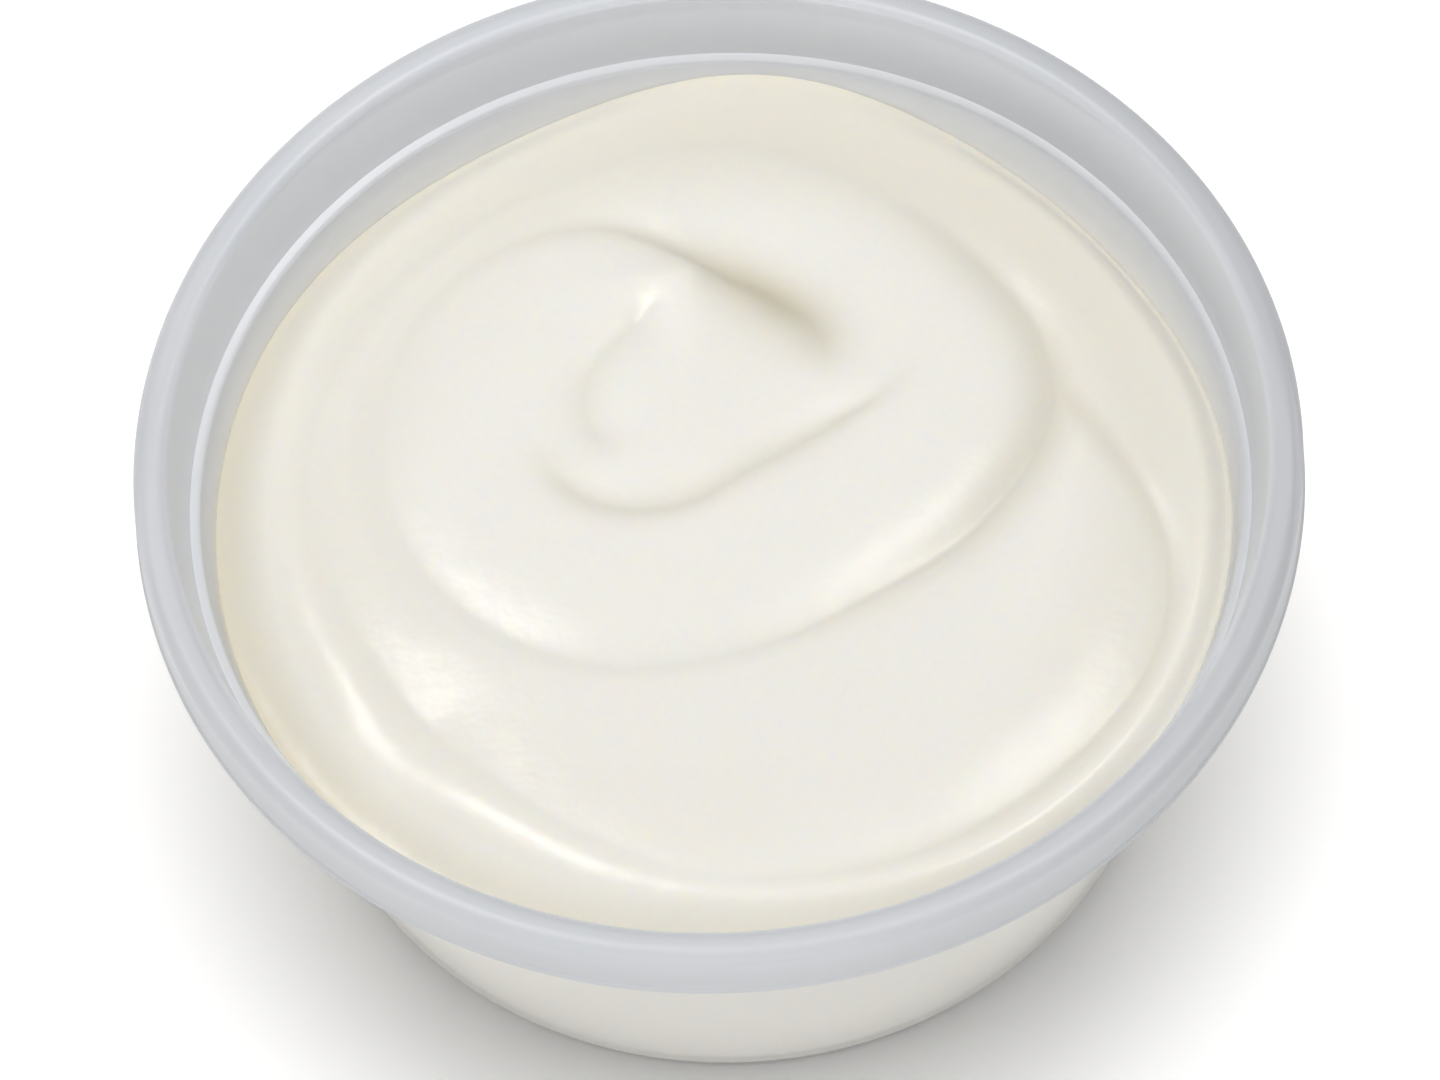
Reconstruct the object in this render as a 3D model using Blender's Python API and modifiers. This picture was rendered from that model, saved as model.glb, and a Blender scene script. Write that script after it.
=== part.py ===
"""Sauce cup: a thin translucent portion cup, filled with a swirled cream sauce.

Metres, +Z up. The origin is the middle of the cup's underside, which stands on z = 0.
The cup and its sauce are two closed bodies that touch all round with a hair's gap.
"""
import math

import bpy
from mathutils import Matrix, Vector

MM = 0.001

# Cup: the outline is the middle of its wall, and depths are measured down from the top of the rim
CUP_HEIGHT = 31.5 * MM
WALL_THICKNESS = 0.5 * MM
BASE_RADIUS = 27.7 * MM
BASE_CORNER = 1.9 * MM
WALL_TOP_RADIUS = 33.7 * MM
WALL_TOP_DEPTH = 5.8 * MM
LEDGE_RADIUS = 34.35 * MM
LEDGE_DEPTH = 5.56 * MM
BAND_TOP_RADIUS = 35.5 * MM
LIP_CORNER = 0.55 * MM
SKIRT_RADIUS = 37.15 * MM
SKIRT_CORNER = 0.75 * MM
SKIRT_FLARE = 0.14 * MM
SKIRT_LENGTH = 4.4 * MM

# Sauce: heights are measured from the top of the rim, so they are negative
CLEARANCE = 0.3 * MM
CROWN_HEIGHT = -5.3 * MM
CROWN_DROP = 1.2 * MM
CROWN_REACH = 29.0 * MM
MOUND_HEIGHT = 0.5 * MM
MOUND_REACH = 14.0 * MM
SIDE_LEVEL = -8.8 * MM

# Where the sauce meets the wall, each twelfth of a turn counter-clockwise from +X, with a smear at the back
TWELFTH = math.radians(30)
WALL_LEVELS = [level * MM for level in (
    -8.4, -9.6, -9.0, -9.0, -9.0, -8.5, -8.9, -9.2, -9.1, -8.7, -8.4, -8.3)]
SHOULDER_STARTS = (0.92, 0.90, 0.89, 0.91, 0.87, 0.84, 0.78, 0.72, 0.72, 0.80, 0.90, 0.92)
SHOULDER_POWER = 2.0
SMEAR_RISE = 2.4 * MM
SMEAR_DIRECTION = math.radians(82)
SMEAR_SPREAD = math.radians(21)

# The swirl's furrow winds clockwise round the eye for two turns, in steps of a twelfth of a turn
EYE = (0.0, 7.6 * MM)
FURROW_RADII = [radius * MM for radius in (
    22.0, 32.6, 35.6, 35.4, 31.2, 28.1, 26.1, 22.6, 20.0, 20.0, 19.6, 20.2,
    22.0, 19.9, 18.2, 19.4, 21.7, 22.5, 21.5, 19.9, 16.4, 10.3, 8.6, 8.3, 7.6)]
FURROW_DEPTHS = [depth * MM for depth in (
    0.0, 0.8, 0.7, 0.35, 0.35, 0.35, 0.5, 0.6, 0.3, 0.3, 0.6, 0.9,
    1.2, 1.2, 1.0, 0.7, 0.6, 0.55, 0.5, 0.6, 0.8, 0.9, 1.0, 0.5, 0.0)]
FURROW_WIDTH = 1.9 * MM
FURROW_LEAN = 1.0 * MM
FURROW_POWER = 1.5

# Three shorter folds run counter-clockwise round the same eye; their widths are inside and outside the line
LOWER_FOLD = {
    "start": math.radians(188), "end": math.radians(372), "depth": 0.45 * MM,
    "radii": [radius * MM for radius in (12.1, 11.4, 9.0, 6.6, 6.5, 8.5, 13.6)],
    "widths": (2.4 * MM, 1.0 * MM)}
CREST_FOLD = {
    "start": math.radians(104), "end": math.radians(222), "depth": 0.6 * MM,
    "radii": [radius * MM for radius in (8.2, 7.4, 8.1, 8.2, 7.4)],
    "widths": (2.2 * MM, 1.4 * MM)}
BACK_FOLD = {
    "start": math.radians(108), "end": math.radians(172), "depth": 0.2 * MM,
    "radii": [radius * MM for radius in (19.6, 21.0, 23.2, 26.0)],
    "widths": (0.8 * MM, 1.2 * MM)}
FOLDS = (LOWER_FOLD, CREST_FOLD, BACK_FOLD)

# The ribbon of sauce ends in a small curled tip, and slumps a little at the front left
TIP = (-1.2 * MM, 16.6 * MM)
TIP_HEIGHT = 1.0 * MM
TIP_LEFT, TIP_RIGHT = 5.0 * MM, 1.7 * MM
TIP_FRONT, TIP_BACK = 4.0 * MM, 1.5 * MM
TIP_POWER = 1.5
SLUMP = (-20.0 * MM, -14.7 * MM)
SLUMP_DEPTH = 0.7 * MM
SLUMP_REACH = 5.0 * MM

# Fineness of the turned surfaces
CUP_STEPS = 72
SAUCE_STEPS = 96
ARC_STEPS = 4
TOP_RINGS = 38
MERGE_DISTANCE = 0.00001


def round_corners(corners):
    """Points of an outline through corners of (radius, height, rounding), with arcs at the rounded ones."""
    points = [Vector(corners[0][:2])]
    for before, corner, after in zip(corners, corners[1:], corners[2:]):
        here = Vector(corner[:2])
        if not corner[2]:
            points.append(here)
            continue
        back = (Vector(before[:2]) - here).normalized()
        on = (Vector(after[:2]) - here).normalized()
        half = back.angle(on) / 2
        centre = here + (back + on).normalized() * corner[2] / math.sin(half)
        spoke = here + back * corner[2] / math.tan(half) - centre
        bend = math.copysign(math.pi - 2 * half, on.x * back.y - on.y * back.x)
        for step in range(ARC_STEPS + 1):
            points.append(centre + Matrix.Rotation(bend * step / ARC_STEPS, 2) @ spoke)
    return points + [Vector(corners[-1][:2])]


def shifted(points, distance):
    """An outline moved sideways, to the left of the way that it runs."""
    moved = []
    for index, point in enumerate(points):
        on = (points[min(index + 1, len(points) - 1)] - point).normalized()
        back = (point - points[max(index - 1, 0)]).normalized()
        way = (on + back).normalized()
        side = Vector((-way.y, way.x))
        stretch = max(way.dot(on), way.dot(back))
        moved.append(point + side * distance / stretch)
    return moved


def wall_lean():
    """Angle of the tapered wall from the upright."""
    rise = CUP_HEIGHT - WALL_TOP_DEPTH - WALL_THICKNESS / 2
    return math.atan2(WALL_TOP_RADIUS - BASE_RADIUS, rise)


def wall_radius(height):
    """Radius of the middle of the tapered wall at a height above the base."""
    return WALL_TOP_RADIUS - (CUP_HEIGHT - WALL_TOP_DEPTH - height) * math.tan(wall_lean())


def wall_outline():
    """Middle of the cup's wall, from the middle of the base over the rim to the end of the skirt."""
    middle_top = CUP_HEIGHT - WALL_THICKNESS / 2
    return round_corners([
        (0.0, WALL_THICKNESS / 2),
        (BASE_RADIUS, WALL_THICKNESS / 2, BASE_CORNER),
        (WALL_TOP_RADIUS, CUP_HEIGHT - WALL_TOP_DEPTH, 0.0),
        (LEDGE_RADIUS, CUP_HEIGHT - LEDGE_DEPTH, 0.0),
        (BAND_TOP_RADIUS, middle_top, LIP_CORNER),
        (SKIRT_RADIUS, middle_top, SKIRT_CORNER),
        (SKIRT_RADIUS + SKIRT_FLARE, CUP_HEIGHT - SKIRT_LENGTH)])


def outline_object(name, points, collection):
    """A mesh object that holds an outline as a chain of edges in the XZ plane."""
    mesh = bpy.data.meshes.new(name)
    vertices = [(max(radius, 0.0), 0.0, height) for radius, height in points]
    edges = [(index, index + 1) for index in range(len(points) - 1)]
    mesh.from_pydata(vertices, edges, [])
    turned = bpy.data.objects.new(name, mesh)
    collection.objects.link(turned)
    return turned


def turn(turned, steps):
    """Turn an object's outline round the upright axis."""
    screw = turned.modifiers.new("Turn", "SCREW")
    screw.steps = steps
    screw.render_steps = steps
    screw.use_merge_vertices = True
    screw.merge_threshold = MERGE_DISTANCE
    screw.use_smooth_shade = True


def material(name, colour, roughness):
    """A plain, non-metallic material."""
    made = bpy.data.materials.new(name)
    made.use_nodes = True
    shader = made.node_tree.nodes["Principled BSDF"]
    shader.inputs["Base Color"].default_value = (*colour, 1.0)
    shader.inputs["Roughness"].default_value = roughness
    shader.inputs["Metallic"].default_value = 0.0
    return made


def make_cup(collection):
    """The cup: one thin wall from the middle of the base to the edge of the skirt."""
    cup = outline_object("cup", wall_outline()[::-1], collection)
    turn(cup, CUP_STEPS)
    shell = cup.modifiers.new("Wall", "SOLIDIFY")
    shell.thickness = WALL_THICKNESS
    shell.offset = 0.0
    shell.use_even_offset = True
    cup.data.materials.append(material("translucent_cup", (0.67, 0.70, 0.74), 0.18))
    return cup


def through_points(values, place):
    """Value at a place along evenly spaced values, on a smooth curve through them all."""
    place = min(max(place, 0.0), len(values) - 1.0)
    index = min(int(place), len(values) - 2)
    share = place - index
    before = values[max(index - 1, 0)]
    first, second = values[index], values[index + 1]
    after = values[min(index + 2, len(values) - 1)]
    cubic = (3 * first - before - 3 * second + after) * share ** 3
    square = (2 * before - 5 * first + 4 * second - after) * share ** 2
    return 0.5 * (2 * first + (second - before) * share + square + cubic)


def around(values, angle):
    """Value in a direction, on a smooth closed curve through values spaced evenly round the turn."""
    values = list(values)
    place = (angle % math.tau) / math.tau * len(values)
    return through_points(values[-1:] + values + values[:2], place + 1)


def ease(start, end, value):
    """0 before start, 1 after end, and a smooth rise between."""
    share = min(max((value - start) / (end - start), 0.0), 1.0)
    return share * share * (3 - 2 * share)


def valley(offset, widths):
    """1 on a furrow's line and 0 away from it, by the signed distance from the line."""
    width = widths[0] if offset < 0 else widths[1]
    return math.exp(-abs(offset / width) ** FURROW_POWER)


def furrow_widths(direction):
    """Widths of the furrow inside and outside its line: the side that faces the front is the gentle one."""
    lean = FURROW_LEAN * math.sin(direction)
    return FURROW_WIDTH - lean, FURROW_WIDTH + lean


def furrow_cut(reach, direction):
    """Depth of the two-turn furrow at a distance and direction from the eye."""
    travel = (-direction) % math.tau
    deepest = 0.0
    for turns in range(2):
        place = (travel + turns * math.tau) / TWELFTH
        offset = reach - through_points(FURROW_RADII, place)
        depth = through_points(FURROW_DEPTHS, place)
        deepest = max(deepest, depth * valley(offset, furrow_widths(direction)))
    return deepest


def fold_cut(fold, reach, direction):
    """Depth of a short fold, which fades out at both ends."""
    middle = (fold["start"] + fold["end"]) / 2
    direction = middle + (direction - middle + math.pi) % math.tau - math.pi
    last = len(fold["radii"]) - 1
    place = (direction - fold["start"]) / (fold["end"] - fold["start"]) * last
    fade = ease(0.0, 1.0, place) * ease(0.0, 1.0, last - place)
    offset = reach - through_points(fold["radii"], place)
    return fold["depth"] * fade * valley(offset, fold["widths"])


def tip_rise(x, y):
    """Height of the curled tip: a long slope to the left and a steep drop to the right."""
    along, across = x - TIP[0], y - TIP[1]
    along /= TIP_RIGHT if along > 0 else TIP_LEFT
    across /= TIP_BACK if across > 0 else TIP_FRONT
    return TIP_HEIGHT * math.exp(-abs(along) ** TIP_POWER - abs(across) ** TIP_POWER)


def wall_level(angle):
    """Height of the sauce on the cup's wall, which it smears up at the back."""
    away = (angle - SMEAR_DIRECTION + math.pi) % math.tau - math.pi
    return CUP_HEIGHT + around(WALL_LEVELS, angle) + SMEAR_RISE * math.exp(-(away / SMEAR_SPREAD) ** 2)


def edge_radius(angle):
    """Radius at which the sauce meets the cup's wall, less the clearance."""
    inset = (WALL_THICKNESS / 2 + CLEARANCE) / math.cos(wall_lean())
    return wall_radius(wall_level(angle)) - inset


def sauce_height(x, y):
    """Height of the sauce's surface above the base."""
    radius, angle = math.hypot(x, y), math.atan2(y, x)
    reach, direction = math.hypot(x - EYE[0], y - EYE[1]), math.atan2(y - EYE[1], x - EYE[0])
    height = CUP_HEIGHT + CROWN_HEIGHT - CROWN_DROP * (radius / CROWN_REACH) ** 2
    height += MOUND_HEIGHT * math.exp(-(reach / MOUND_REACH) ** 2)
    height += tip_rise(x, y)
    height -= furrow_cut(reach, direction)
    height -= sum(fold_cut(fold, reach, direction) for fold in FOLDS)
    height -= SLUMP_DEPTH * math.exp(-(math.hypot(x - SLUMP[0], y - SLUMP[1]) / SLUMP_REACH) ** 2)
    shoulder = ease(around(SHOULDER_STARTS, angle), 1.0, radius / edge_radius(angle)) ** SHOULDER_POWER
    return height + (wall_level(angle) - height) * shoulder


def shape_top(sauce, side_top):
    """Give the flat top of the turned sauce its swirl, out to the wall."""
    for vertex in sauce.data.vertices:
        radius = math.hypot(vertex.co.x, vertex.co.y)
        if vertex.co.z < side_top.y - MERGE_DISTANCE:
            continue
        angle = math.atan2(vertex.co.y, vertex.co.x)
        spread = edge_radius(angle) / side_top.x
        vertex.co.x *= spread
        vertex.co.y *= spread
        if radius > side_top.x - MERGE_DISTANCE:
            vertex.co.z = wall_level(angle)
        else:
            vertex.co.z = sauce_height(vertex.co.x, vertex.co.y)


def make_sauce(collection):
    """The sauce: a solid that fills the cup up to a swirled surface."""
    level = CUP_HEIGHT + SIDE_LEVEL
    middle = round_corners([
        (0.0, WALL_THICKNESS / 2),
        (BASE_RADIUS, WALL_THICKNESS / 2, BASE_CORNER),
        (wall_radius(level), level)])
    inset = WALL_THICKNESS / 2 + CLEARANCE
    side = shifted(middle, inset)[:-1]
    side_top = Vector((wall_radius(level) - inset / math.cos(wall_lean()), level))
    top = [(side_top.x * ring / TOP_RINGS, level) for ring in range(TOP_RINGS + 1)]
    sauce = outline_object("sauce", top + side[::-1], collection)
    turn(sauce, SAUCE_STEPS)
    with bpy.context.temp_override(object=sauce, active_object=sauce, selected_objects=[sauce]):
        bpy.ops.object.modifier_apply(modifier="Turn")
    shape_top(sauce, side_top)
    sauce.data.materials.append(material("cream_sauce", (0.88, 0.86, 0.81), 0.28))
    return sauce


def clear_scene():
    """Remove whatever the file already holds."""
    for thing in list(bpy.data.objects):
        bpy.data.objects.remove(thing, do_unlink=True)


def main():
    """Build the filled cup."""
    clear_scene()
    collection = bpy.data.collections.new("sauce_cup")
    bpy.context.scene.collection.children.link(collection)
    make_cup(collection)
    make_sauce(collection)


main()
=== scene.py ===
"""Looks of the sauce cup: a translucent portion cup full of swirled cream sauce, on a pale floor.

Metres, +Z up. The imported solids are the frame; both get a finer piece of the same form.
"""
import math

import bpy
from mathutils import Matrix, Vector


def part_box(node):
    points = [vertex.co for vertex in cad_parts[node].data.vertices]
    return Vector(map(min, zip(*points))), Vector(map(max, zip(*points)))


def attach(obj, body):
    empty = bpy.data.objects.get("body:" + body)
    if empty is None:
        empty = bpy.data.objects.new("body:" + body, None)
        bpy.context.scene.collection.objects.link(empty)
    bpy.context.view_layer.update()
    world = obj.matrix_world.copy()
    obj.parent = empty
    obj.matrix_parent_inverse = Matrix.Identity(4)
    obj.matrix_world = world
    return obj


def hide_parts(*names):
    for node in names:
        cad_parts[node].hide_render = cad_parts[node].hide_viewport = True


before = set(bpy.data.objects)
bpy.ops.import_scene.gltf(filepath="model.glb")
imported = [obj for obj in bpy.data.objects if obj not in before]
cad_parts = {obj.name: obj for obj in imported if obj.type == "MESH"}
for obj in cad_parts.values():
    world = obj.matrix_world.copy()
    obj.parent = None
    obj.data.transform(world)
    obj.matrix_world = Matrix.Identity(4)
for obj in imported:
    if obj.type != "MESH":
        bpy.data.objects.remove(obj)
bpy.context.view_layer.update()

MM = 0.001

# Cup: the outline is the middle of its wall, and depths are measured down from the top of the rim
CUP_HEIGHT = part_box("cup")[1].z
WALL_THICKNESS = 0.5 * MM
BASE_RADIUS = 27.7 * MM
BASE_CORNER = 1.9 * MM
WALL_TOP_RADIUS = 33.7 * MM
WALL_TOP_DEPTH = 5.8 * MM
WALL_TOP_CORNER = 0.2 * MM
LEDGE_RADIUS = 34.35 * MM
LEDGE_DEPTH = 5.56 * MM
LEDGE_CORNER = 0.2 * MM
BAND_TOP_RADIUS = 35.5 * MM
LIP_CORNER = 0.55 * MM
SKIRT_RADIUS = 37.15 * MM
SKIRT_CORNER = 0.75 * MM
SKIRT_LENGTH = 4.4 * MM
BEAD_RADIUS = 0.38 * MM

# Sauce: heights are measured from the top of the rim, so they are negative
WALL_OVERLAP = 0.15 * MM
CROWN_HEIGHT = -5.3 * MM
CROWN_DROP = 1.2 * MM
CROWN_REACH = 29.0 * MM
MOUND_HEIGHT = 0.5 * MM
MOUND_REACH = 14.0 * MM
SIDE_LEVEL = -8.8 * MM

# Where the sauce meets the wall, each twelfth of a turn counter-clockwise from +X, with a smear at the back
TWELFTH = math.radians(30)
WALL_LEVELS = [level * MM for level in (
    -8.4, -9.6, -9.0, -9.0, -9.0, -8.5, -8.9, -9.2, -9.1, -8.7, -8.4, -8.3)]
SHOULDER_STARTS = (0.92, 0.90, 0.89, 0.91, 0.87, 0.84, 0.78, 0.72, 0.72, 0.80, 0.90, 0.92)
SHOULDER_POWER = 2.0
SMEAR_RISE = 2.4 * MM
SMEAR_DIRECTION = math.radians(82)
SMEAR_SPREAD = math.radians(21)

# The swirl's furrow winds clockwise round the eye for two turns, in steps of a twelfth of a turn
EYE = (0.0, 7.6 * MM)
FURROW_RADII = [radius * MM for radius in (
    22.0, 32.6, 35.6, 35.4, 31.2, 28.1, 26.1, 22.6, 20.0, 20.0, 19.6, 20.2,
    22.0, 19.9, 18.2, 19.4, 21.7, 22.5, 21.5, 19.9, 16.4, 10.3, 8.6, 8.3, 7.6)]
FURROW_DEPTHS = [depth * MM for depth in (
    0.0, 0.8, 0.7, 0.35, 0.35, 0.35, 0.5, 0.6, 0.3, 0.3, 0.6, 0.9,
    1.2, 1.2, 1.0, 0.7, 0.6, 0.55, 0.5, 0.6, 0.8, 0.9, 1.0, 0.5, 0.0)]
FURROW_WIDTH = 1.9 * MM
FURROW_LEAN = 1.0 * MM
FURROW_POWER = 1.5

# Three shorter folds round the same eye: widths are inside and outside the line, and shade is painted shade
# on the cream along it
LOWER_FOLD = {
    "start": math.radians(188), "end": math.radians(372), "depth": 0.45 * MM, "shade": 0.36,
    "radii": [radius * MM for radius in (12.1, 11.4, 9.0, 6.6, 6.5, 8.5, 13.6)],
    "widths": (2.4 * MM, 1.0 * MM)}
CREST_FOLD = {
    "start": math.radians(104), "end": math.radians(222), "depth": 0.6 * MM, "shade": 0.18,
    "radii": [radius * MM for radius in (8.2, 7.4, 8.1, 8.2, 7.4)],
    "widths": (2.2 * MM, 1.4 * MM)}
BACK_FOLD = {
    "start": math.radians(108), "end": math.radians(172), "depth": 0.2 * MM, "shade": 0.18,
    "radii": [radius * MM for radius in (19.6, 21.0, 23.2, 26.0)],
    "widths": (0.8 * MM, 1.2 * MM)}
FOLDS = (LOWER_FOLD, CREST_FOLD, BACK_FOLD)

# The ribbon of sauce ends in a small curled tip, and slumps a little at the front left
TIP = (-1.2 * MM, 16.6 * MM)
TIP_HEIGHT = 1.0 * MM
TIP_LEFT, TIP_RIGHT = 5.0 * MM, 1.7 * MM
TIP_FRONT, TIP_BACK = 4.0 * MM, 1.5 * MM
TIP_POWER = 1.5
SLUMP = (-20.0 * MM, -14.7 * MM)
SLUMP_DEPTH = 0.7 * MM
SLUMP_REACH = 5.0 * MM

# The cream has painted shade: darker along the folds, in the outer ring and at the edge, more so on one side
FURROW_SHADES = (
    0.5, 0.46, 0.36, 0.1, 0.08, 0.12, 0.2, 0.24, 0.24, 0.2, 0.3, 0.43,
    0.54, 0.43, 0.29, 0.1, 0.1, 0.12, 0.16, 0.22, 0.3, 0.75, 1.0, 0.65, 0.0)
LINE_WIDTH = 1.1 * MM
LINE_SPREAD = 0.7 * MM
LINE_DIRECTION = math.radians(60)
LINE_INNER_SPREAD = 1.4 * MM
RING_START, RING_FULL = 0.62, 0.85
RING_DIRECTION = math.radians(60)
RING_SHADE = 0.39
EDGE_START = 0.84
EDGE_DIRECTION = math.radians(205)
EDGE_SHADE = 0.75
LEFT_START, LEFT_FULL = 0.5, 0.75
LEFT_DIRECTION = math.radians(190)
LEFT_SHADE = 0.18

# The cup's plastic is painted darker as shade, and made duller, at the ledge, below it, and in the rim and
# skirt, most at the sides
DULL_ROUGHNESS = 0.3
LEDGE_DIM = 1.0
LEDGE_REACH = 0.5 * MM
LEDGE_DIRECTION = math.radians(50)
WALL_DIM = 0.42
WALL_DIM_START, WALL_DIM_END = 9.0 * MM, 22.0 * MM
RIM_EDGE = 0.3 * MM
RIM_DIM = 0.25
SKIRT_DIM = 0.35
RIGHT_DIM = 0.55
LEFT_DIM = 0.35
LEFT_DIM_DIRECTION = math.radians(205)

# Noise that mottles the materials, with its scales per metre
NOISE_LOW, NOISE_HIGH = 0.2, 0.8
NOISE_DETAIL = 4.0
MILK_SCALE = 60.0
CUP_GLOSS_SCALE = 180.0
CUP_ROUGHNESS = (0.28, 0.32)
CUP_GRAIN_SCALE = 400.0
CUP_GRAIN_DEPTH = 0.02 * MM
CUP_GRAIN_STRENGTH = 0.3
BLOTCH_SCALE = 90.0
SAUCE_NOISE_SCALE = 150.0
SAUCE_ROUGHNESS = (0.28, 0.33)
SAUCE_GRAIN_DEPTH = 0.4 * MM
SAUCE_GRAIN_STRENGTH = 0.35
PAPER_SCALE = 3.0
PAPER_ROUGHNESS = 0.9

# The plastic changes in tone and lets less through from a little below the wall's top to a little above it
CUP_IOR = 1.49
CUP_SPECULAR = 0.7
TONE_BELOW, TONE_ABOVE = 5.0 * MM, 0.5 * MM
ALPHA_BELOW, ALPHA_ABOVE = 2.0 * MM, 1.0 * MM
WALL_ALPHA, RIM_ALPHA = 0.62, 0.8

# The cream scatters light a little way under its surface, red the furthest
SAUCE_IOR = 1.45
SCATTER_SHARES = (1.0, 0.85, 0.55)
SCATTER_REACH = 0.6 * MM

# Colour sockets of a mix node
MIX_FIRST, MIX_SECOND, MIX_RESULT = 6, 7, 2

# Fineness of the turned surfaces
CUP_STEPS = 240
SAUCE_STEPS = 288
ARC_STEPS = 10
TOP_RINGS = 110
MERGE_DISTANCE = 0.00001
SHARP_ANGLE = math.radians(35)

# Camera: it looks at a point a little off the middle of the rim's plane, in the picture's own axes
LENS = 250.0
SENSOR = 36.0
ELEVATION = math.radians(58.37)
ROLL = math.radians(-4.0)
DISTANCE = 638 * MM
AIM_RIGHT = 0.2 * MM
AIM_DOWN = 5.9 * MM
CLIP_START = 0.01

# Studio: a pale sky, with lamps overhead, for the floor, low in front and on either side
ACROSS = (1.0, 0.0, 0.0)
FLOOR_SIZE = 4.0
SKY_COLOUR = (0.95, 0.97, 1.0)
SKY_STRENGTH = 0.25
LAMP_COLOUR = (1.0, 0.99, 0.97)
TOP_PLACE = (0.0, 0.0, 1.2)
TOP_SIZE = (1.4, 1.4)
TOP_POWER = 2.6
FLOOR_LAMP_PLACE = (0.0, 0.12, 1.2)
FLOOR_POWER = 22.0
SIDE_PLACE = (0.29, 0.05, 0.745)
SIDE_LENGTH = (0.20, 0.40, -0.10)
SIDE_SIZE = (0.36, 0.14)
LEFT_POWER = 2.7
RIGHT_POWER = 1.65
FRONT_PLACE = (-0.15, -1.0, 0.12)
FRONT_SIZE = (1.2, 0.3)
FRONT_POWER = 3.5


def round_corners(corners):
    """Points of an outline through corners of (radius, height, rounding), with an arc round each corner."""
    points = [Vector(corners[0][:2])]
    for before, corner, after in zip(corners, corners[1:], corners[2:]):
        here = Vector(corner[:2])
        back = (Vector(before[:2]) - here).normalized()
        on = (Vector(after[:2]) - here).normalized()
        half = back.angle(on) / 2
        centre = here + (back + on).normalized() * corner[2] / math.sin(half)
        spoke = here + back * corner[2] / math.tan(half) - centre
        bend = math.copysign(math.pi - 2 * half, on.x * back.y - on.y * back.x)
        for step in range(ARC_STEPS + 1):
            points.append(centre + Matrix.Rotation(bend * step / ARC_STEPS, 2) @ spoke)
    return points + [Vector(corners[-1][:2])]


def shifted(points, distance):
    """An outline moved sideways, to the left of the way that it runs."""
    moved = []
    for index, point in enumerate(points):
        on = (points[min(index + 1, len(points) - 1)] - point).normalized()
        back = (point - points[max(index - 1, 0)]).normalized()
        way = (on + back).normalized()
        side = Vector((-way.y, way.x))
        stretch = max(way.dot(on), way.dot(back))
        moved.append(point + side * distance / stretch)
    return moved


def wall_lean():
    """Angle of the tapered wall from the upright."""
    rise = CUP_HEIGHT - WALL_TOP_DEPTH - WALL_THICKNESS / 2
    return math.atan2(WALL_TOP_RADIUS - BASE_RADIUS, rise)


def wall_radius(height):
    """Radius of the middle of the tapered wall at a height above the base."""
    return WALL_TOP_RADIUS - (CUP_HEIGHT - WALL_TOP_DEPTH - height) * math.tan(wall_lean())


def wall_outline():
    """Middle of the cup's wall, from the middle of the base over the rim to the end of the skirt."""
    middle_top = CUP_HEIGHT - WALL_THICKNESS / 2
    return round_corners([
        (0.0, WALL_THICKNESS / 2),
        (BASE_RADIUS, WALL_THICKNESS / 2, BASE_CORNER),
        (WALL_TOP_RADIUS, CUP_HEIGHT - WALL_TOP_DEPTH, WALL_TOP_CORNER),
        (LEDGE_RADIUS, CUP_HEIGHT - LEDGE_DEPTH, LEDGE_CORNER),
        (BAND_TOP_RADIUS, middle_top, LIP_CORNER),
        (SKIRT_RADIUS, middle_top, SKIRT_CORNER),
        (SKIRT_RADIUS, CUP_HEIGHT - SKIRT_LENGTH + BEAD_RADIUS)])


def bead_outline(end):
    """The round bead along the skirt's lower edge, from its outer side round to its inner side."""
    start = -math.acos(WALL_THICKNESS / 2 / BEAD_RADIUS)
    points = []
    for step in range(2 * ARC_STEPS + 1):
        angle = start + (math.pi - 2 * start) * step / (2 * ARC_STEPS)
        points.append(end + BEAD_RADIUS * Vector((math.cos(angle), -math.sin(angle))))
    return points


def outline_object(name, points):
    """A mesh object that holds an outline as a chain of edges in the XZ plane."""
    mesh = bpy.data.meshes.new(name)
    vertices = [(max(radius, 0.0), 0.0, height) for radius, height in points]
    edges = [(index, index + 1) for index in range(len(points) - 1)]
    mesh.from_pydata(vertices, edges, [])
    turned = bpy.data.objects.new(name, mesh)
    bpy.context.scene.collection.objects.link(turned)
    return turned


def turn(turned, steps):
    """Turn an object's outline round the upright axis, and keep the result."""
    screw = turned.modifiers.new("Turn", "SCREW")
    screw.steps = steps
    screw.render_steps = steps
    screw.use_merge_vertices = True
    screw.merge_threshold = MERGE_DISTANCE
    screw.use_smooth_shade = True
    evaluated = turned.evaluated_get(bpy.context.evaluated_depsgraph_get())
    mesh = bpy.data.meshes.new_from_object(evaluated)
    turned.modifiers.clear()
    turned.data = mesh


def through_points(values, place):
    """Value at a place along evenly spaced values, on a smooth curve through them all."""
    place = min(max(place, 0.0), len(values) - 1.0)
    index = min(int(place), len(values) - 2)
    share = place - index
    before = values[max(index - 1, 0)]
    first, second = values[index], values[index + 1]
    after = values[min(index + 2, len(values) - 1)]
    cubic = (3 * first - before - 3 * second + after) * share ** 3
    square = (2 * before - 5 * first + 4 * second - after) * share ** 2
    return 0.5 * (2 * first + (second - before) * share + square + cubic)


def around(values, angle):
    """Value in a direction, on a smooth closed curve through values spaced evenly round the turn."""
    values = list(values)
    place = (angle % math.tau) / math.tau * len(values)
    return through_points(values[-1:] + values + values[:2], place + 1)


def ease(start, end, value):
    """0 before start, 1 after end, and a smooth rise between."""
    share = min(max((value - start) / (end - start), 0.0), 1.0)
    return share * share * (3 - 2 * share)


def valley(offset, widths):
    """1 on a furrow's line and 0 away from it, by the signed distance from the line."""
    width = widths[0] if offset < 0 else widths[1]
    return math.exp(-abs(offset / width) ** FURROW_POWER)


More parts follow.
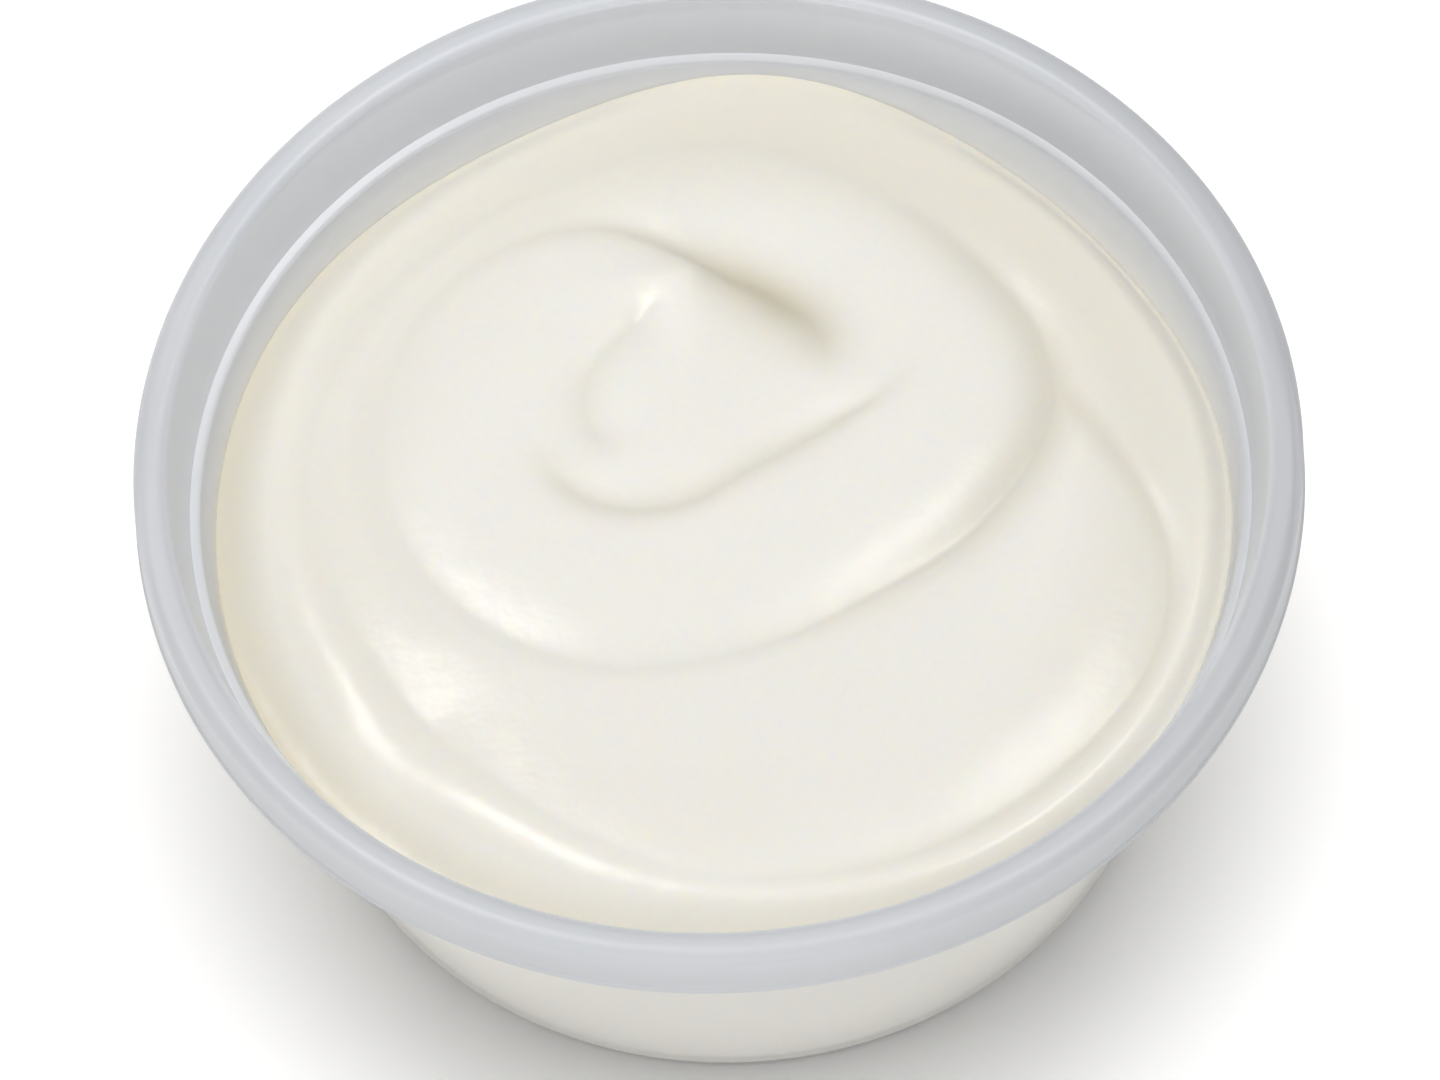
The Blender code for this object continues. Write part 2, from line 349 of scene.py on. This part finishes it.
def furrow_widths(direction):
    """Widths of the furrow inside and outside its line: the side that faces the front is the gentle one."""
    lean = FURROW_LEAN * math.sin(direction)
    return FURROW_WIDTH - lean, FURROW_WIDTH + lean


def furrow(reach, direction, values, widths):
    """Depth or shade of the two-turn furrow, from its values each twelfth of a turn."""
    travel = (-direction) % math.tau
    most = 0.0
    for turns in range(2):
        place = (travel + turns * math.tau) / TWELFTH
        offset = reach - through_points(FURROW_RADII, place)
        most = max(most, through_points(values, place) * valley(offset, widths))
    return most


def fold_share(fold, reach, direction, widths):
    """1 on a short fold's line, and 0 away from it and at both its ends."""
    middle = (fold["start"] + fold["end"]) / 2
    direction = middle + (direction - middle + math.pi) % math.tau - math.pi
    last = len(fold["radii"]) - 1
    place = (direction - fold["start"]) / (fold["end"] - fold["start"]) * last
    fade = ease(0.0, 1.0, place) * ease(0.0, 1.0, last - place)
    return fade * valley(reach - through_points(fold["radii"], place), widths)


def from_eye(x, y):
    """Distance and direction of a place from the eye."""
    return math.hypot(x - EYE[0], y - EYE[1]), math.atan2(y - EYE[1], x - EYE[0])


def cut(x, y):
    """Depth of the furrow, the folds and the slump."""
    reach, direction = from_eye(x, y)
    depth = furrow(reach, direction, FURROW_DEPTHS, furrow_widths(direction))
    for fold in FOLDS:
        depth += fold["depth"] * fold_share(fold, reach, direction, fold["widths"])
    away = math.hypot(x - SLUMP[0], y - SLUMP[1])
    return depth + SLUMP_DEPTH * math.exp(-(away / SLUMP_REACH) ** 2)


def tip_rise(x, y):
    """Height of the curled tip: a long slope to the left and a steep drop to the right."""
    along, across = x - TIP[0], y - TIP[1]
    along /= TIP_RIGHT if along > 0 else TIP_LEFT
    across /= TIP_BACK if across > 0 else TIP_FRONT
    return TIP_HEIGHT * math.exp(-abs(along) ** TIP_POWER - abs(across) ** TIP_POWER)


def wall_level(angle):
    """Height of the sauce on the cup's wall, which it smears up at the back."""
    away = (angle - SMEAR_DIRECTION + math.pi) % math.tau - math.pi
    return CUP_HEIGHT + around(WALL_LEVELS, angle) + SMEAR_RISE * math.exp(-(away / SMEAR_SPREAD) ** 2)


def edge_radius(angle):
    """Radius at which the sauce's side runs, just inside the cup's wall."""
    inset = (WALL_THICKNESS / 2 - WALL_OVERLAP) / math.cos(wall_lean())
    return wall_radius(wall_level(angle)) - inset


def sauce_height(x, y):
    """Height of the sauce's surface above the base."""
    radius, angle = math.hypot(x, y), math.atan2(y, x)
    height = CUP_HEIGHT + CROWN_HEIGHT - CROWN_DROP * (radius / CROWN_REACH) ** 2
    height += MOUND_HEIGHT * math.exp(-(from_eye(x, y)[0] / MOUND_REACH) ** 2)
    height += tip_rise(x, y) - cut(x, y)
    shoulder = ease(around(SHOULDER_STARTS, angle), 1.0, radius / edge_radius(angle)) ** SHOULDER_POWER
    return height + (wall_level(angle) - height) * shoulder


def toward(angle, direction):
    """1 in a direction, and 0 in the opposite one."""
    return (1 + math.cos(angle - direction)) / 2


def line_shade(x, y):
    """Painted shade along the furrow and folds: 1 along the darkest stretch of the furrow, and 0 away from
    it and from the folds.
    """
    reach, direction = from_eye(x, y)
    inner = LINE_WIDTH + LINE_INNER_SPREAD * toward(direction, LINE_DIRECTION)
    outer = LINE_WIDTH + LINE_SPREAD * toward(direction, 0.0)
    shade = furrow(reach, direction, FURROW_SHADES, (inner, outer))
    for fold in FOLDS:
        shade = max(shade, fold["shade"] * fold_share(fold, reach, direction, (LINE_WIDTH, LINE_WIDTH)))
    return shade


def painted_shade(place):
    """Share of painted shade at a place on the sauce: most in deep folds and at the left of the edge."""
    angle = math.atan2(place.y, place.x)
    share = math.hypot(place.x, place.y) / edge_radius(angle)
    line = line_shade(place.x, place.y)
    ring = RING_SHADE * ease(RING_START, RING_FULL, share) * toward(angle, RING_DIRECTION)
    edge = EDGE_SHADE * ease(EDGE_START, 1.0, share) * toward(angle, EDGE_DIRECTION)
    left = LEFT_SHADE * ease(LEFT_START, LEFT_FULL, share) * toward(angle, LEFT_DIRECTION) ** 2
    return max(line, ring, edge, left)


def cup_painted_shade(place):
    """Share of painted shade, and of extra dullness, at a place on the cup."""
    depth = CUP_HEIGHT - place.z
    angle = math.atan2(place.y, place.x)
    ledge = LEDGE_DIM * toward(angle, LEDGE_DIRECTION) ** 2
    ledge *= 1 - ease(0.0, LEDGE_REACH, abs(depth - LEDGE_DEPTH))
    wall = WALL_DIM * ease(LEDGE_DEPTH, WALL_TOP_DEPTH, depth)
    wall *= 1 - ease(WALL_DIM_START, WALL_DIM_END, depth)
    rim = ease(BAND_TOP_RADIUS - RIM_EDGE, BAND_TOP_RADIUS + RIM_EDGE, math.hypot(place.x, place.y))
    skirt = SKIRT_DIM * ease(SKIRT_CORNER, SKIRT_LENGTH, depth)
    right = RIGHT_DIM * toward(angle, 0.0) ** 2
    left = LEFT_DIM * toward(angle, LEFT_DIM_DIRECTION) ** 4
    return max(ledge, wall, rim * (RIM_DIM + skirt + right + left))


def paint(thing, name, value_at):
    """Store a value at each point of a mesh, for its material."""
    values = thing.data.attributes.new(name, "FLOAT", "POINT")
    for index, vertex in enumerate(thing.data.vertices):
        values.data[index].value = value_at(vertex.co)


def shape_top(sauce, side_top):
    """Give the flat top of the turned sauce its swirl, out to the wall."""
    for vertex in sauce.data.vertices:
        radius = math.hypot(vertex.co.x, vertex.co.y)
        if vertex.co.z < side_top.y - MERGE_DISTANCE:
            continue
        angle = math.atan2(vertex.co.y, vertex.co.x)
        spread = edge_radius(angle) / side_top.x
        vertex.co.x *= spread
        vertex.co.y *= spread
        if radius > side_top.x - MERGE_DISTANCE:
            vertex.co.z = wall_level(angle)
        else:
            vertex.co.z = sauce_height(vertex.co.x, vertex.co.y)


def make_cup():
    """The cup: one thin wall from the middle of the base to the bead along the skirt's edge."""
    middle = wall_outline()
    inside = shifted(middle, WALL_THICKNESS / 2)[:-1]
    outside = shifted(middle, -WALL_THICKNESS / 2)[:-1]
    cup = outline_object("cup_shell", inside + bead_outline(middle[-1]) + outside[::-1])
    turn(cup, CUP_STEPS)
    cup.data.set_sharp_from_angle(angle=SHARP_ANGLE)
    # Painted shade: the share of darkening, which also dulls the gloss, is stored on each point of the cup
    paint(cup, "painted_shade_and_dullness", cup_painted_shade)
    cup.data.materials.append(cup_material())
    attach(cup, "root")
    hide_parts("cup")
    return cup


def make_sauce():
    """The sauce: it fills the cup and reaches just into its wall."""
    level = CUP_HEIGHT + SIDE_LEVEL
    middle = round_corners([
        (0.0, WALL_THICKNESS / 2),
        (BASE_RADIUS, WALL_THICKNESS / 2, BASE_CORNER),
        (wall_radius(level), level)])
    inset = WALL_THICKNESS / 2 - WALL_OVERLAP
    side = shifted(middle, inset)[:-1]
    side_top = Vector((wall_radius(level) - inset / math.cos(wall_lean()), level))
    top = [(side_top.x * ring / TOP_RINGS, level) for ring in range(TOP_RINGS + 1)]
    sauce = outline_object("sauce_swirl", top + side[::-1])
    turn(sauce, SAUCE_STEPS)
    shape_top(sauce, side_top)
    # Painted shade: the share of darkening is stored on each point of the sauce
    paint(sauce, "painted_shade", painted_shade)
    sauce.data.materials.append(sauce_material())
    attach(sauce, "root")
    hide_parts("sauce")
    return sauce


def new_material(name):
    """A node material and its Principled shader."""
    made = bpy.data.materials.new(name)
    made.use_nodes = True
    return made, made.node_tree.nodes["Principled BSDF"]


def add_node(tree, kind, values=None, **settings):
    """A node with its settings and unlinked input values."""
    made = tree.nodes.new(kind)
    for name, value in settings.items():
        setattr(made, name, value)
    for name, value in (values or {}).items():
        made.inputs[name].default_value = value
    return made


def mottle(tree, scale, low, high):
    """Noise in object space that runs from the value low to the value high."""
    place = add_node(tree, "ShaderNodeTexCoord")
    noise = add_node(tree, "ShaderNodeTexNoise", {"Scale": scale, "Detail": NOISE_DETAIL})
    spread = add_node(tree, "ShaderNodeMapRange", {
        "From Min": NOISE_LOW, "From Max": NOISE_HIGH, "To Min": low, "To Max": high})
    tree.links.new(place.outputs["Object"], noise.inputs["Vector"])
    tree.links.new(noise.outputs["Fac"], spread.inputs["Value"])
    return spread.outputs["Result"]


def by_height(tree, bottom, top, low, high):
    """A value that runs from low at the height bottom to high at the height top."""
    place = add_node(tree, "ShaderNodeTexCoord")
    split = add_node(tree, "ShaderNodeSeparateXYZ")
    spread = add_node(tree, "ShaderNodeMapRange", {
        "From Min": bottom, "From Max": top, "To Min": low, "To Max": high})
    tree.links.new(place.outputs["Object"], split.inputs["Vector"])
    tree.links.new(split.outputs["Z"], spread.inputs["Value"])
    return spread.outputs["Result"]


def mix_colours(tree, factor, first, second):
    """A colour that a factor takes from the first to the second."""
    mix = add_node(tree, "ShaderNodeMix", data_type="RGBA")
    mix.inputs[MIX_FIRST].default_value = (*first, 1.0)
    mix.inputs[MIX_SECOND].default_value = (*second, 1.0)
    tree.links.new(factor, mix.inputs["Factor"])
    return mix.outputs[MIX_RESULT]


def join_colours(tree, factor, first, second):
    """A colour that a factor takes from one colour output to another."""
    mix = add_node(tree, "ShaderNodeMix", data_type="RGBA")
    tree.links.new(factor, mix.inputs["Factor"])
    tree.links.new(first, mix.inputs[MIX_FIRST])
    tree.links.new(second, mix.inputs[MIX_SECOND])
    return mix.outputs[MIX_RESULT]


def add_bump(tree, shader, height, distance, strength):
    """Fine relief on the shader's normal."""
    bump = add_node(tree, "ShaderNodeBump", {"Distance": distance, "Strength": strength})
    tree.links.new(height, bump.inputs["Height"])
    tree.links.new(bump.outputs["Normal"], shader.inputs["Normal"])


def cup_material():
    """Milky polypropylene with a satin gloss, clearer in the thin wall than in the rim."""
    made, shader = new_material("polypropylene")
    tree = made.node_tree
    shader.inputs["IOR"].default_value = CUP_IOR
    shader.inputs["Specular IOR Level"].default_value = CUP_SPECULAR
    milk = mottle(tree, MILK_SCALE, 0.0, 1.0)
    rim = mix_colours(tree, milk, (0.75, 0.775, 0.82), (0.79, 0.81, 0.85))
    wall = mix_colours(tree, milk, (0.91, 0.895, 0.85), (0.94, 0.925, 0.885))
    # The dark colour is painted shade, mixed in by the share stored on the cup
    dark = mix_colours(tree, milk, (0.46, 0.475, 0.50), (0.50, 0.51, 0.53))
    wall_top = CUP_HEIGHT - WALL_TOP_DEPTH
    rise = by_height(tree, wall_top - TONE_BELOW, wall_top + TONE_ABOVE, 0.0, 1.0)
    tone = join_colours(tree, rise, wall, rim)
    painted_shade_and_dullness = add_node(tree, "ShaderNodeAttribute", attribute_name="painted_shade_and_dullness")
    colour = join_colours(tree, painted_shade_and_dullness.outputs["Fac"], tone, dark)
    tree.links.new(colour, shader.inputs["Base Color"])
    alpha = by_height(tree, wall_top - ALPHA_BELOW, wall_top + ALPHA_ABOVE, WALL_ALPHA, RIM_ALPHA)
    tree.links.new(alpha, shader.inputs["Alpha"])
    gloss = add_node(tree, "ShaderNodeMath", operation="MULTIPLY_ADD")
    gloss.inputs[1].default_value = DULL_ROUGHNESS
    tree.links.new(painted_shade_and_dullness.outputs["Fac"], gloss.inputs[0])
    tree.links.new(mottle(tree, CUP_GLOSS_SCALE, *CUP_ROUGHNESS), gloss.inputs[2])
    tree.links.new(gloss.outputs["Value"], shader.inputs["Roughness"])
    grain = mottle(tree, CUP_GRAIN_SCALE, 0.0, 1.0)
    add_bump(tree, shader, grain, CUP_GRAIN_DEPTH, CUP_GRAIN_STRENGTH)
    return made


def sauce_material():
    """Off-white cream sauce: smooth, dense and softly glossy."""
    made, shader = new_material("cream")
    tree = made.node_tree
    shader.inputs["IOR"].default_value = SAUCE_IOR
    shader.inputs["Subsurface Weight"].default_value = 1.0
    shader.inputs["Subsurface Radius"].default_value = SCATTER_SHARES
    shader.inputs["Subsurface Scale"].default_value = SCATTER_REACH
    blotch = mottle(tree, BLOTCH_SCALE, 0.0, 1.0)
    open_colour = mix_colours(tree, blotch, (0.885, 0.866, 0.82), (0.895, 0.876, 0.832))
    # The olive colour is painted shade, mixed in by the share stored on the sauce
    painted_shade_colour = mix_colours(tree, blotch, (0.63, 0.59, 0.465), (0.65, 0.61, 0.485))
    depth = add_node(tree, "ShaderNodeAttribute", attribute_name="painted_shade")
    colour = join_colours(tree, depth.outputs["Fac"], open_colour, painted_shade_colour)
    tree.links.new(colour, shader.inputs["Base Color"])
    tree.links.new(mottle(tree, SAUCE_NOISE_SCALE, *SAUCE_ROUGHNESS), shader.inputs["Roughness"])
    grain = mottle(tree, SAUCE_NOISE_SCALE, 0.0, 1.0)
    add_bump(tree, shader, grain, SAUCE_GRAIN_DEPTH, SAUCE_GRAIN_STRENGTH)
    return made


def floor_material():
    """Plain white paper."""
    made, shader = new_material("floor_paper")
    tree = made.node_tree
    grain = mottle(tree, PAPER_SCALE, 0.0, 1.0)
    colour = mix_colours(tree, grain, (0.95, 0.95, 0.95), (0.97, 0.97, 0.97))
    tree.links.new(colour, shader.inputs["Base Color"])
    shader.inputs["Roughness"].default_value = PAPER_ROUGHNESS
    return made


def make_floor():
    """A plain pale floor under the cup."""
    bpy.ops.mesh.primitive_plane_add(size=FLOOR_SIZE)
    floor = bpy.context.object
    floor.name = "floor"
    floor.data.materials.append(floor_material())
    return floor


def make_lamp(name, place, long_side, size, power):
    """A rectangular soft lamp that faces the cup, with its long side along a direction."""
    light = bpy.data.lights.new(name, "AREA")
    light.shape = "RECTANGLE"
    light.size, light.size_y = size
    light.energy = power
    light.color = LAMP_COLOUR
    lamp = bpy.data.objects.new(name, light)
    bpy.context.scene.collection.objects.link(lamp)
    outward = Vector(place).normalized()
    across = outward.cross(Vector(long_side)).normalized()
    turned = Matrix((across.cross(outward), across, outward)).transposed().to_4x4()
    lamp.matrix_world = Matrix.Translation(Vector(place) + Vector((0.0, 0.0, CUP_HEIGHT))) @ turned
    lamp.visible_camera = False
    return lamp


def limit_lamp(lamp, receivers=(), blockers=()):
    """Let a lamp light only some things, or be shaded only by some."""
    if receivers:
        lamp.light_linking.receiver_collection = bpy.data.collections.new(lamp.name + "_receivers")
        for thing in receivers:
            lamp.light_linking.receiver_collection.objects.link(thing)
    if blockers:
        lamp.light_linking.blocker_collection = bpy.data.collections.new(lamp.name + "_blockers")
        for thing in blockers:
            lamp.light_linking.blocker_collection.objects.link(thing)


def make_studio(cup, sauce, floor):
    """Soft white light from all round, with lamps overhead, for the floor, in front and on either side."""
    world = bpy.data.worlds.new("studio")
    world.use_nodes = True
    background = world.node_tree.nodes["Background"]
    background.inputs["Color"].default_value = (*SKY_COLOUR, 1.0)
    background.inputs["Strength"].default_value = SKY_STRENGTH
    bpy.context.scene.world = world
    x, y, z = SIDE_PLACE
    dx, dy, dz = SIDE_LENGTH
    right = make_lamp("lamp_right", (x, y, z), (dx, dy, dz), SIDE_SIZE, RIGHT_POWER)
    left = make_lamp("lamp_left", (-x, y, z), (-dx, dy, dz), SIDE_SIZE, LEFT_POWER)
    top = make_lamp("lamp_top", TOP_PLACE, ACROSS, TOP_SIZE, TOP_POWER)
    top.visible_glossy = False
    floor_lamp = make_lamp("lamp_floor", FLOOR_LAMP_PLACE, ACROSS, TOP_SIZE, FLOOR_POWER)
    front = make_lamp("lamp_front", FRONT_PLACE, ACROSS, FRONT_SIZE, FRONT_POWER)
    limit_lamp(floor_lamp, receivers=[floor])
    limit_lamp(front, receivers=[cup, sauce])
    limit_lamp(left, receivers=[cup, sauce], blockers=[sauce])
    limit_lamp(right, receivers=[cup, sauce], blockers=[sauce])


def make_camera():
    """The photograph's camera: far away, looking steeply down, and rolled a little."""
    ahead = Vector((0.0, math.cos(ELEVATION), -math.sin(ELEVATION)))
    level_right = Vector((1.0, 0.0, 0.0))
    level_down = ahead.cross(level_right)
    right = level_right * math.cos(ROLL) - level_down * math.sin(ROLL)
    down = level_right * math.sin(ROLL) + level_down * math.cos(ROLL)
    aim = Vector((0.0, 0.0, CUP_HEIGHT)) + right * AIM_RIGHT + down * AIM_DOWN
    lens = bpy.data.cameras.new("camera")
    lens.lens = LENS
    lens.sensor_width = SENSOR
    lens.clip_start = CLIP_START
    camera = bpy.data.objects.new("camera", lens)
    bpy.context.scene.collection.objects.link(camera)
    turned = Matrix((right, -down, -ahead)).transposed().to_4x4()
    camera.matrix_world = Matrix.Translation(aim - ahead * DISTANCE) @ turned
    bpy.context.scene.camera = camera


def main():
    """Dress the frame and set up the studio."""
    make_studio(make_cup(), make_sauce(), make_floor())
    make_camera()
    bpy.context.scene.view_settings.view_transform = "Standard"


main()
